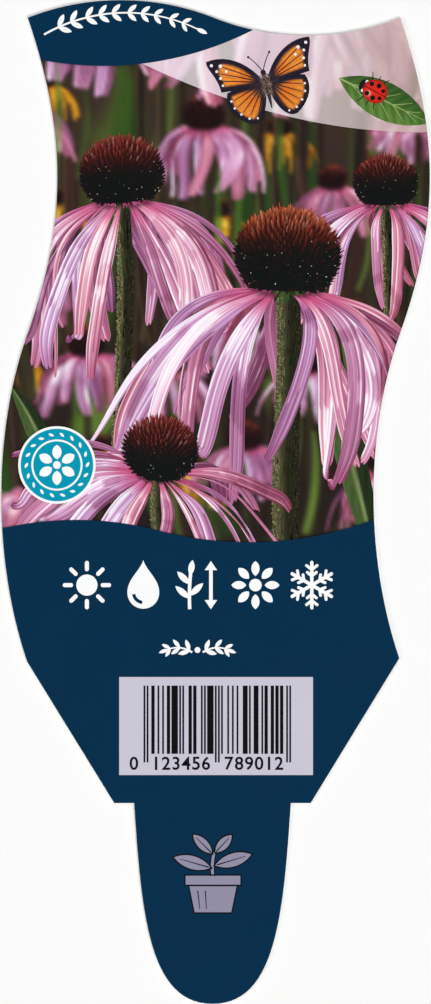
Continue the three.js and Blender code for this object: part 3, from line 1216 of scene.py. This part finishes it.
def lay_butterfly(inks, centre, half_span, tilt):
    """A plain orange butterfly with dark wing borders and pale dots."""
    dark, brown, orange, pale = (34, 30, 42), (84, 48, 36), (220, 116, 38), (240, 236, 238)
    insect = Insect(inks, centre, half_span, tilt)
    for side in (-1, 1):
        for curves, rise in ((WING_BACK, 0), (WING_FRONT, 2)):
            loop = np.concatenate([curve(*c, steps=10)[:-1] for c in curves]) * (side, 1)
            loop = insect.place(loop if side < 0 else loop[::-1])
            points, triangles = meshed(loop, 0.24)
            local = insect.drawn(points)
            reach = np.hypot(*local.T)
            turn = np.arctan2(local[:, 1], np.abs(local[:, 0]))
            edge = depth_inside(points, loop) / half_span
            colours = blend(brown, orange, ease(reach, 0.1, 0.4))
            colours = blend(colours, (236, 150, 62), 0.6 * ease(reach, 0.4, 0.62))
            colours = blend(colours, dark, 1 - ease(edge, 0.07, 0.12) * (1 - ease(reach, 0.86, 0.96)))
            colours = blend(colours, (92, 84, 104), 0.5 * (1 - ease(reach, 0.05, 0.36)))
            scales = 0.10 * np.sin(turn * 61 + reach * 7) + 0.07 * np.sin(turn * 137) * np.sin(reach * 60)
            colours = (colours * (1 + scales)[:, None]).clip(0, 255)
            inks.lay((points, triangles), INSECT_LEVEL + rise, colours, local * 8, 3.0)
        root = np.array([0.03 * side, 0.03])
        for angle, length in WING_VEINS:
            turn = math.radians(angle)
            tip = np.array([side * math.cos(turn), math.sin(turn)]) * length * 0.86
            vein = curve(root, tip * 0.5 + (0, 0.03), tip, steps=8)
            insect.stroke(vein, 3, blend(dark, brown, 0.25), 0.24, 0.14)
        for x, y, radius in WING_DOTS:
            insect.fill(ellipse((x * side, y), radius, steps=10), 4, pale)
    trunk = insect.place(curve((0, 0.20), (0.01, 0.0), (0.0, -0.46), steps=16))
    t = np.linspace(0, 1, len(trunk))
    width = half_span * (0.11 - 0.05 * np.abs(t - 0.2) / 0.8) * np.sin(np.pi * (t * 0.9 + 0.07)) ** 0.5
    points, triangles, places = ribbon(trunk, width, columns=7)
    light = 0.75 + 0.5 * (1 - np.abs(places[:, 0] + 0.3)) + 0.15 * np.sin(places[:, 1] * 70)
    inks.lay((points, triangles), INSECT_LEVEL + 5, np.outer(light, (62, 48, 44)).clip(0, 255))
    insect.fill(ellipse((0, 0.22), 0.05, steps=16), 6, (44, 36, 36))
    for side in (-1, 1):
        feeler = curve((0.01 * side, 0.25), (0.08 * side, 0.42), (0.2 * side, 0.56), steps=10)
        insect.stroke(feeler, 5, dark, 0.17, 0.14)
        inks.lay(filled(ellipse(insect.place(feeler)[-1], 0.2, steps=12)), INSECT_LEVEL + 6, dark)
    rng = np.random.default_rng(BUTTERFLY_SEED)
    for _ in range(BUTTERFLY_HAIRS):
        place, side = rng.uniform(-0.2, 0.2), rng.choice([-1, 1])
        root = np.array([side * rng.uniform(0.0, 0.05), place])
        hair = [root, root + (side * rng.uniform(0.02, 0.08), rng.uniform(-0.09, -0.01))]
        insect.stroke(hair, 5.6, jitter(rng, (122, 104, 92), 0.4), 0.09, 0.04)


def lay_ladybird(inks, centre, length, tilt):
    """A ladybird: a red back with black spots, a dark head and six short legs."""
    insect = Insect(inks, centre, length / 2, tilt)
    for side in (-1, 1):
        for root, tip in ((0.45, 0.70), (0.0, 0.04), (-0.4, -0.62)):
            leg = curve((0.5 * side, root), (0.95 * side, root + 0.08), (1.12 * side, tip), steps=6)
            insect.stroke(leg, 2, (30, 26, 28), 0.22, 0.12)
    insect.fill(ellipse((0, 0.84), 0.42, 0.26, steps=24), 3, (26, 24, 28))
    insect.fill(ellipse((0.0, 0.66), 0.56, 0.28, steps=24), 4, (36, 32, 36))
    points, triangles = meshed(insect.place(ellipse((0, -0.08), 0.80, 0.86, steps=48)), 0.22)
    x, y = insect.drawn(points).T
    dome = np.sqrt(np.clip(1 - (x / 0.85) ** 2 - ((y + 0.08) / 0.92) ** 2, 0, 1))
    glint = np.exp(-((x + 0.32) ** 2 + (y - 0.28) ** 2) / 0.03)
    colours = blend((112, 14, 18), (214, 40, 30), ease(dome, 0.0, 0.8))
    inks.lay((points, triangles), INSECT_LEVEL + 5, blend(colours, (255, 236, 226), 0.8 * glint))
    insect.stroke([(0, 0.74), (0, 0.0), (0, -0.92)], 6, (40, 12, 14), 0.13)
    for x, y, radius in ((0.36, 0.36, 0.16), (0.46, -0.14, 0.17), (0.28, -0.56, 0.14)):
        for side in (-1, 1):
            insect.fill(ellipse((x * side, y), radius, steps=16), 6, (24, 20, 22))
    for side in (-1, 1):
        insect.fill(ellipse((0.34 * side, 0.72), 0.12, 0.10, steps=12), 5, (236, 232, 224))


def make_insects():
    """The butterfly and the ladybird on its leaf, over the pale band."""
    inks = Inks("insects", "picture_ink", picture_ink("insect_print", grain=0.16))
    lay_butterfly(inks, (8.6, 71.2), 9.2, 14)
    points, triangles = meshed(lens(LEAF_TIP, LEAF_ROOT, 6.4), 0.28)
    run = (points - LEAF_ROOT) @ LEAF_ALONG / LEAF_LENGTH
    across = (points - LEAF_ROOT) @ LEAF_ACROSS
    colours = blend((92, 132, 58), (56, 92, 40), ease(across, -2.5, 2.5))
    colours = veined(colours, run * 62 - np.abs(across) * 2.6)
    inks.lay((points, triangles), INSECT_LEVEL, colours, bleeds=True)
    for root, reach, bend in LEAF_VEINS:
        start = LEAF_ROOT + LEAF_ALONG * root
        end = start + LEAF_ALONG * reach + LEAF_ACROSS * bend
        path = curve(start, blend(start, end, 0.6) - (0, bend * 0.08), end, steps=8)
        rib = ribbon(path, 0.16 if bend else 0.34, 0.07)
        inks.lay(rib, INSECT_LEVEL + 1, (150, 172, 104), bleeds=True)
    lay_ladybird(inks, (27.0, 70.0), 5.0, 62)
    inks.print_on()


def make_panels(inks):
    """The dark blue print: the header, the lower panel and the tongue."""
    navy = Inks("navy_print", "navy_ink", flat_ink("navy_ink", inks.navy))
    for line in (wave()[::-1], header_curve()):
        navy.lay(filled(part_of(PRINT_BORDER, line)), PANEL_LEVEL)
    navy.print_on()


def sun():
    """A sun: a disc with eight rays."""
    rays = [moved(bar((0.33, 0), (0.46, 0), 0.085), tilt=turn) for turn in range(0, 360, 45)]
    return joined([ellipse((0, 0), 0.22, steps=48), *rays])


def drop():
    """A drop of water with a crescent left out of it."""
    side = curve((0, 0.52), (0.06, 0.30), (0.34, 0.12), (0.33, -0.16), steps=20)
    base = ellipse((0, -0.16), 0.33, start=0, end=-180, steps=28)
    outline = np.concatenate([side, base[1:], (side * (-1, 1))[::-1][1:-1]])
    outer, inner = (ellipse((0, -0.16), r, start=188, end=264, steps=12) for r in (0.235, 0.165))
    return joined([outline], [np.concatenate([outer, inner[::-1]])])


def growing():
    """A growing plant beside an arrow that points up and down."""
    x = 0.24
    shaft = strip([(x, -0.34), (x, 0.34)], 0.075)
    heads = [np.array([(x - 0.13, 0.31 * w), (x + 0.13, 0.31 * w), (x, 0.50 * w)]) for w in (-1, 1)]
    stem = strip(curve((-0.20, -0.50), (-0.22, -0.1), (-0.18, 0.26)), 0.07)
    leaves = [lens(start, end, 0.13) for start, end in (
        ((-0.20, -0.28), (-0.50, -0.02)), ((-0.20, -0.22), (0.08, 0.04)),
        ((-0.20, 0.02), (-0.46, 0.28)), ((-0.19, 0.20), (-0.14, 0.52)),
    )]
    return joined([shaft, *heads, stem, *leaves])


def blossom():
    """A flower with a ring left open round its disc."""
    petals = [moved(lens((0.19, 0), (0.50, 0), 0.17), tilt=90 + 45 * k) for k in range(8)]
    return joined([ellipse((0, 0), 0.13, steps=32), *petals])


def snow():
    """A snow crystal with six branched arms."""
    strokes = [bar((0, 0), (0.47, 0), 0.07)]
    for reach, length in ((0.19, 0.12), (0.32, 0.14)):
        for way in (-1, 1):
            strokes.append(bar((reach, 0), (reach + length * 0.62, way * length * 0.78), 0.06))
    return joined([moved(stroke, tilt=turn) for turn in range(30, 390, 60) for stroke in strokes])


def sprig(path, leaf_length, pairs):
    """Loops of a stem with pairs of leaves along a path, and one leaf at its tip."""
    loops = [strip(path, 0.34, 0.22)]
    left = across_of(np.gradient(path, axis=0))
    ahead = -across_of(left)
    for k in range(pairs):
        i = round((0.10 + 0.80 * k / (pairs - 1)) * (len(path) - 1))
        size = leaf_length * (1 - 0.3 * k / pairs)
        for side in (-left[i], left[i]):
            tip = path[i] + ahead[i] * size * 0.72 + side * size * 0.66
            loops.append(lens(path[i] + side * 0.05, tip, size * 0.36))
    tip = path[-1] + ahead[-1] * leaf_length * 0.8
    return [*loops, lens(path[-1] - ahead[-1] * 0.1, tip, leaf_length * 0.3)]


def make_marks(inks):
    """The white marks on the dark blue: a sprig in the header and the care signs in a row."""
    marks = Inks("white_marks", "white_ink", flat_ink("white_ink", inks.white))
    marks.lay(joined(sprig(bow((-29.2, 79.6), (-3.2, 80.6), 3.2, steps=60), 2.5, 10)), MARK_LEVEL)
    for sign, x in zip((sun, drop, growing, blossom, snow), SIGN_PLACES):
        points, triangles = sign()
        marks.lay((moved(points, (x, SIGN_LINE), size=SIGN_SIZE), triangles), MARK_LEVEL)
    middle = np.array(ORNAMENT_PLACE)
    loops = [ellipse(middle, 0.5, steps=20)]
    for way in (-1, 1):
        stem = curve((0.9 * way, -0.4), (3.0 * way, 0.9), (5.0 * way, 0.1), steps=30)
        loops += sprig(middle + stem, 2.1, 3)
    marks.lay(joined(loops), MARK_LEVEL)
    marks.print_on()


def make_badge(inks):
    """The round badge: a teal disc with a white rim, a ring of leaves and a white flower."""
    centre = np.array(BADGE_PLACE)
    white = Inks("badge_white", "white_ink", flat_ink("badge_white_ink", inks.white))
    teal = Inks("badge_teal", "teal_ink", flat_ink("teal_ink", inks.teal))
    white.lay(filled(ellipse(centre, BADGE_RADIUS, steps=96)), PANEL_LEVEL)
    teal.lay(filled(ellipse(centre, BADGE_RADIUS - 0.42, steps=96)), PANEL_LEVEL + 1)
    ring = ellipse(centre, BADGE_RADIUS * 0.66, steps=96)
    white.lay(filled(ring, drawn_in(ring, 0.32)), MARK_LEVEL)
    leaves = [moved(lens((0.75, -0.055), (0.83, 0.075), 0.07), tilt=turn) for turn in range(0, 360, 20)]
    petals = [moved(lens((0.15, 0), (0.52, 0), 0.24), tilt=90 + 60 * k) for k in range(6)]
    points, triangles = joined([*leaves, *petals, ellipse((0, 0), 0.10, steps=24)])
    white.lay((moved(points, centre, size=BADGE_RADIUS), triangles), MARK_LEVEL)
    white.print_on()
    teal.print_on()


def numeral(digit, centre):
    """The points and triangles of a digit in Blender's own plain lettering."""
    lettering = bpy.data.curves.new("digit", "FONT")
    lettering.body = digit
    lettering.align_x = "CENTER"
    lettering.offset = 0.016
    maker = bpy.data.objects.new("digit", lettering)
    bpy.context.scene.collection.objects.link(maker)
    mesh = bpy.data.meshes.new_from_object(maker)
    mesh.calc_loop_triangles()
    points = np.array([tuple(v.co.xy) for v in mesh.vertices])
    triangles = np.array([tuple(t.vertices) for t in mesh.loop_triangles])
    bpy.data.objects.remove(maker)
    bpy.data.curves.remove(lettering)
    bpy.data.meshes.remove(mesh)
    low, high = points.min(0), points.max(0)
    points = (points - ((low[0] + high[0]) / 2, low[1])) / (high[1] - low[1]) * DIGIT_HEIGHT
    return points + centre, facing_up(points, triangles)


def make_bars(inks, sizes):
    """The pale panel with the bars of a stand-in number and its plain digits."""
    pale = Inks("bar_panel", "pale_ink", flat_ink("bar_panel_ink", inks.lilac))
    pale.lay(filled(rectangle(*BAR_PANEL)), PANEL_LEVEL + 1)
    pale.print_on()

    black = Inks("bars", "black_ink", flat_ink("black_ink", inks.black))
    module, gain = sizes.bar_module / MM, sizes.ink_gain / MM / 2
    digits = [BAR_WIDTHS[int(d)] for d in DIGITS]
    # Guards stand at both ends and in the middle. The middle one and the left digits begin pale.
    runs = [("111", 0), *((d, 1) for d in digits[1:7]), ("11111", 1)]
    runs += [*((d, 0) for d in digits[7:]), ("111", 0)]
    x = BARS_LEFT
    for widths, dark in runs:
        foot = GUARDS_FOOT if set(widths) == {"1"} else BARS_FOOT
        for k, width in enumerate(widths):
            after = x + int(width) * module
            if k % 2 == dark:
                black.lay(filled(rectangle((x - gain, foot), (after + gain, BARS_TOP))), LINE_LEVEL)
            x = after
    spots = [middle + (k - 2.5) * DIGIT_PITCH for middle in DIGIT_GROUPS for k in range(6)]
    for digit, spot in zip(DIGITS, (FIRST_DIGIT, *spots)):
        black.lay(numeral(digit, (BARS_LEFT + spot * module, DIGITS_FOOT)), LINE_LEVEL)
    black.print_on()


def make_tongue_mark(inks):
    """The sign on the tongue: a seedling in its pot, in lilac-grey with black lines."""
    pale = Inks("tongue_mark", "pale_ink", flat_ink("tongue_ink", inks.grey_lilac))
    lines = Inks("tongue_lines", "black_ink", flat_ink("line_ink", inks.black))
    middle = np.array(TONGUE_PLACE)
    stem = middle + curve((0.0, -0.4), (-0.3, 1.6), (0.2, 3.6))
    leaves = [
        lens((0.0, 0.9), (-7.0, 2.9), 2.7), lens((0.0, 1.3), (6.9, 3.4), 2.7),
        lens((0.1, 3.2), (-3.6, 6.9), 2.2), lens((0.2, 3.4), (3.4, 6.8), 2.2),
    ]
    pot = np.array([(-3.3, -6.8), (3.3, -6.8), (4.3, -1.9), (-4.3, -1.9)])
    outlines = [middle + loop for loop in (pot, rectangle((-4.9, -2.1), (4.9, -0.1)), *leaves)]
    pale.lay(joined([*outlines, strip(stem, 0.75, 0.6)]), MARK_LEVEL)
    strokes = [strip(stem + (0.34 * way, 0), 0.2) for way in (-1, 1)]
    for leaf in leaves:
        root, tip = leaf[0], leaf[10]
        strokes.append(middle + strip([blend(root, tip, 0.1), blend(root, tip, 0.8)], 0.22, 0.1))
    for x in (-2.6, -1.3):
        strokes.append(middle + strip([(x, -2.9), (x * 0.86, -6.0)], 0.2, 0.12))
    lines.lay(joined(strokes), LINE_LEVEL)
    for outline in outlines:
        lines.lay(filled(outline, drawn_in(outline, 0.24)), LINE_LEVEL + 1)
    pale.print_on()
    lines.print_on()


def make_stage():
    """The pale floor, the soft lights and the camera that looks straight down."""
    scene = bpy.context.scene
    mesh = bpy.data.meshes.new("floor")
    corners = rectangle((-FLOOR_HALF, -FLOOR_HALF), (FLOOR_HALF, FLOOR_HALF))
    mesh.from_pydata([(*corner, 0) for corner in corners.tolist()], [], [(0, 1, 2, 3)])
    mesh.materials.append(studio_floor())
    floor = bpy.data.objects.new("floor", mesh)
    scene.collection.objects.link(floor)

    for name, height, turn, strength in LIGHTS:
        lamp = bpy.data.lights.new(name, "SUN")
        lamp.energy = strength
        lamp.angle = math.radians(LIGHT_SPREAD)
        light = bpy.data.objects.new(name, lamp)
        light.rotation_euler = (math.radians(90 - height), 0, math.radians(turn))
        scene.collection.objects.link(light)

    # The camera sees a paler sky than the one that lights the label.
    world = bpy.data.worlds.new("studio")
    world.use_nodes = True
    nodes, links = world.node_tree.nodes, world.node_tree.links
    seen, lit = nodes["Background"], nodes.new("ShaderNodeBackground")
    seen.inputs["Color"].default_value = (0.95, 0.95, 0.94, 1.0)
    lit.inputs["Color"].default_value = (0.95, 0.97, 1.0, 1.0)
    lit.inputs["Strength"].default_value = 0.11
    path, both = nodes.new("ShaderNodeLightPath"), nodes.new("ShaderNodeMixShader")
    sources = (path.outputs["Is Camera Ray"], lit.outputs[0], seen.outputs[0])
    for source, target in zip(sources, both.inputs):
        links.new(source, target)
    links.new(both.outputs[0], nodes["World Output"].inputs["Surface"])
    scene.world = world

    scene.view_settings.view_transform = "Standard"
    view = bpy.data.cameras.new("camera")
    view.lens = 200.0
    view.sensor_width = 36.0
    view.clip_end = 50.0
    camera = bpy.data.objects.new("camera", view)
    camera.location = (0, 0, FACE_HEIGHT * MM + CAMERA_DISTANCE)
    scene.collection.objects.link(camera)
    scene.camera = camera


class LabelSizes(bpy.types.PropertyGroup):
    """Sizes of the sheet and of its print."""
    ink_film: bpy.props.FloatProperty(
        name="Ink film", description="Height from one film of ink to the next", default=2.9e-6,
        min=2e-7, precision=7, unit="LENGTH")
    ink_depth: bpy.props.FloatProperty(
        name="Print depth", description="Depth of the tray in the sheet that holds the print",
        default=3e-4, precision=6, unit="LENGTH")
    back_round: bpy.props.FloatProperty(
        name="Back rounding", description="Radius of the cut edge at the back", default=8e-5,
        precision=6, unit="LENGTH")
    face_round: bpy.props.FloatProperty(
        name="Face rounding", description="Radius of the cut edge at the face", default=3e-5,
        precision=6, unit="LENGTH")
    ink_gain: bpy.props.FloatProperty(
        name="Ink gain", description="How much a printed bar spreads", default=4.5e-5,
        precision=6, unit="LENGTH")
    bar_module: bpy.props.FloatProperty(
        name="Bar module", description="Width of the thinnest bar", default=2.64e-4,
        precision=6, unit="LENGTH")


class LabelInks(bpy.types.PropertyGroup):
    """The flat inks, as a proof would show them from 0 to 255."""
    navy: bpy.props.FloatVectorProperty(
        name="Dark blue", description="Ink of the panels", default=(3, 46, 75), min=0, max=255)
    white: bpy.props.FloatVectorProperty(
        name="White", description="Colour of the white marks", default=(252, 252, 252), min=0, max=255)
    lilac: bpy.props.FloatVectorProperty(
        name="Lilac", description="Ink of the bar panel", default=(203, 199, 213), min=0, max=255)
    grey_lilac: bpy.props.FloatVectorProperty(
        name="Grey lilac", description="Ink of the tongue's sign", default=(146, 142, 165),
        min=0, max=255)
    teal: bpy.props.FloatVectorProperty(
        name="Teal", description="Ink of the round badge", default=(0, 152, 180), min=0, max=255)
    black: bpy.props.FloatVectorProperty(
        name="Black", description="Ink of the bars and lines", default=(14, 14, 16), min=0, max=255)


class LabelPicture(bpy.types.PropertyGroup):
    """Choices for the flower picture."""
    garden_seed: bpy.props.IntProperty(
        name="Garden seed", description="Where the unsharp plants stand", default=11)
    garden_pitch: bpy.props.FloatProperty(
        name="Garden pitch", description="Spacing of the backdrop's points", default=3.8e-4,
        precision=5, unit="LENGTH")
    flower_seed: bpy.props.IntProperty(
        name="Flower seed", description="How the sharp petals fall", default=5)
    petals: bpy.props.IntProperty(
        name="Petals", description="Petals of the largest flower", default=33, min=5)
    petal_length: bpy.props.FloatProperty(
        name="Petal length", description="Length of its petals", default=0.043, unit="LENGTH")
    cone_width: bpy.props.FloatProperty(
        name="Cone width", description="Width of its cone", default=0.018, unit="LENGTH")


class PLANT_LABEL_OT_sheet(bpy.types.Operator):
    """Make the white plastic sheet"""
    bl_idname = "plant_label.sheet"
    bl_label = "Plastic sheet"

    def execute(self, context):
        make_sheet(context.scene.label_sizes)
        return {"FINISHED"}


class PLANT_LABEL_OT_backdrop(bpy.types.Operator):
    """Print the unsharp garden and the pale band"""
    bl_idname = "plant_label.backdrop"
    bl_label = "Garden picture"

    def execute(self, context):
        make_backdrop(context.scene.label_picture)
        return {"FINISHED"}


class PLANT_LABEL_OT_flowers(bpy.types.Operator):
    """Print the coneflowers, with their stems and leaves"""
    bl_idname = "plant_label.flowers"
    bl_label = "Coneflowers"

    def execute(self, context):
        make_flowers(context.scene.label_picture)
        return {"FINISHED"}


class PLANT_LABEL_OT_insects(bpy.types.Operator):
    """Print the butterfly and the ladybird"""
    bl_idname = "plant_label.insects"
    bl_label = "Insects"

    def execute(self, context):
        make_insects()
        return {"FINISHED"}


class PLANT_LABEL_OT_panels(bpy.types.Operator):
    """Print the dark blue header, panel and tongue"""
    bl_idname = "plant_label.panels"
    bl_label = "Dark blue panels"

    def execute(self, context):
        make_panels(context.scene.label_inks)
        return {"FINISHED"}


class PLANT_LABEL_OT_marks(bpy.types.Operator):
    """Print the white signs, the badge and the tongue's seedling"""
    bl_idname = "plant_label.marks"
    bl_label = "Signs and badge"

    def execute(self, context):
        for make in (make_marks, make_badge, make_tongue_mark):
            make(context.scene.label_inks)
        return {"FINISHED"}


class PLANT_LABEL_OT_bars(bpy.types.Operator):
    """Print the pale panel with its bars and digits"""
    bl_idname = "plant_label.bars"
    bl_label = "Bar panel"

    def execute(self, context):
        make_bars(context.scene.label_inks, context.scene.label_sizes)
        return {"FINISHED"}


class PLANT_LABEL_OT_stage(bpy.types.Operator):
    """Set up the floor, the lights and the camera"""
    bl_idname = "plant_label.stage"
    bl_label = "Stage"

    def execute(self, context):
        make_stage()
        return {"FINISHED"}


STEPS = (
    PLANT_LABEL_OT_stage, PLANT_LABEL_OT_sheet, PLANT_LABEL_OT_backdrop, PLANT_LABEL_OT_flowers,
    PLANT_LABEL_OT_insects, PLANT_LABEL_OT_panels, PLANT_LABEL_OT_marks, PLANT_LABEL_OT_bars,
)


class PLANT_LABEL_PT_panel(bpy.types.Panel):
    """Lists the label's sizes, inks and steps"""
    bl_idname = "PLANT_LABEL_PT_panel"
    bl_label = "Plant label"
    bl_space_type = "VIEW_3D"
    bl_region_type = "UI"
    bl_category = "Plant label"

    def draw(self, context):
        for name in GROUPS:
            group, box = getattr(context.scene, name), self.layout.box()
            for value in group.__annotations__:
                box.prop(group, value)
        for step in STEPS:
            self.layout.operator(step.bl_idname)


GROUPS = {"label_sizes": LabelSizes, "label_inks": LabelInks, "label_picture": LabelPicture}


def register():
    for name, group in GROUPS.items():
        bpy.utils.register_class(group)
        setattr(bpy.types.Scene, name, bpy.props.PointerProperty(type=group))
    for kind in (*STEPS, PLANT_LABEL_PT_panel):
        bpy.utils.register_class(kind)


def unregister():
    for kind in (PLANT_LABEL_PT_panel, *STEPS[::-1]):
        bpy.utils.unregister_class(kind)
    for name, group in GROUPS.items():
        delattr(bpy.types.Scene, name)
        bpy.utils.unregister_class(group)


def main():
    register()
    bpy.ops.plant_label.stage()
    bpy.ops.plant_label.sheet()
    bpy.ops.plant_label.backdrop()
    bpy.ops.plant_label.flowers()
    bpy.ops.plant_label.insects()
    bpy.ops.plant_label.panels()
    bpy.ops.plant_label.marks()
    bpy.ops.plant_label.bars()


if __name__ == "__main__":
    main()
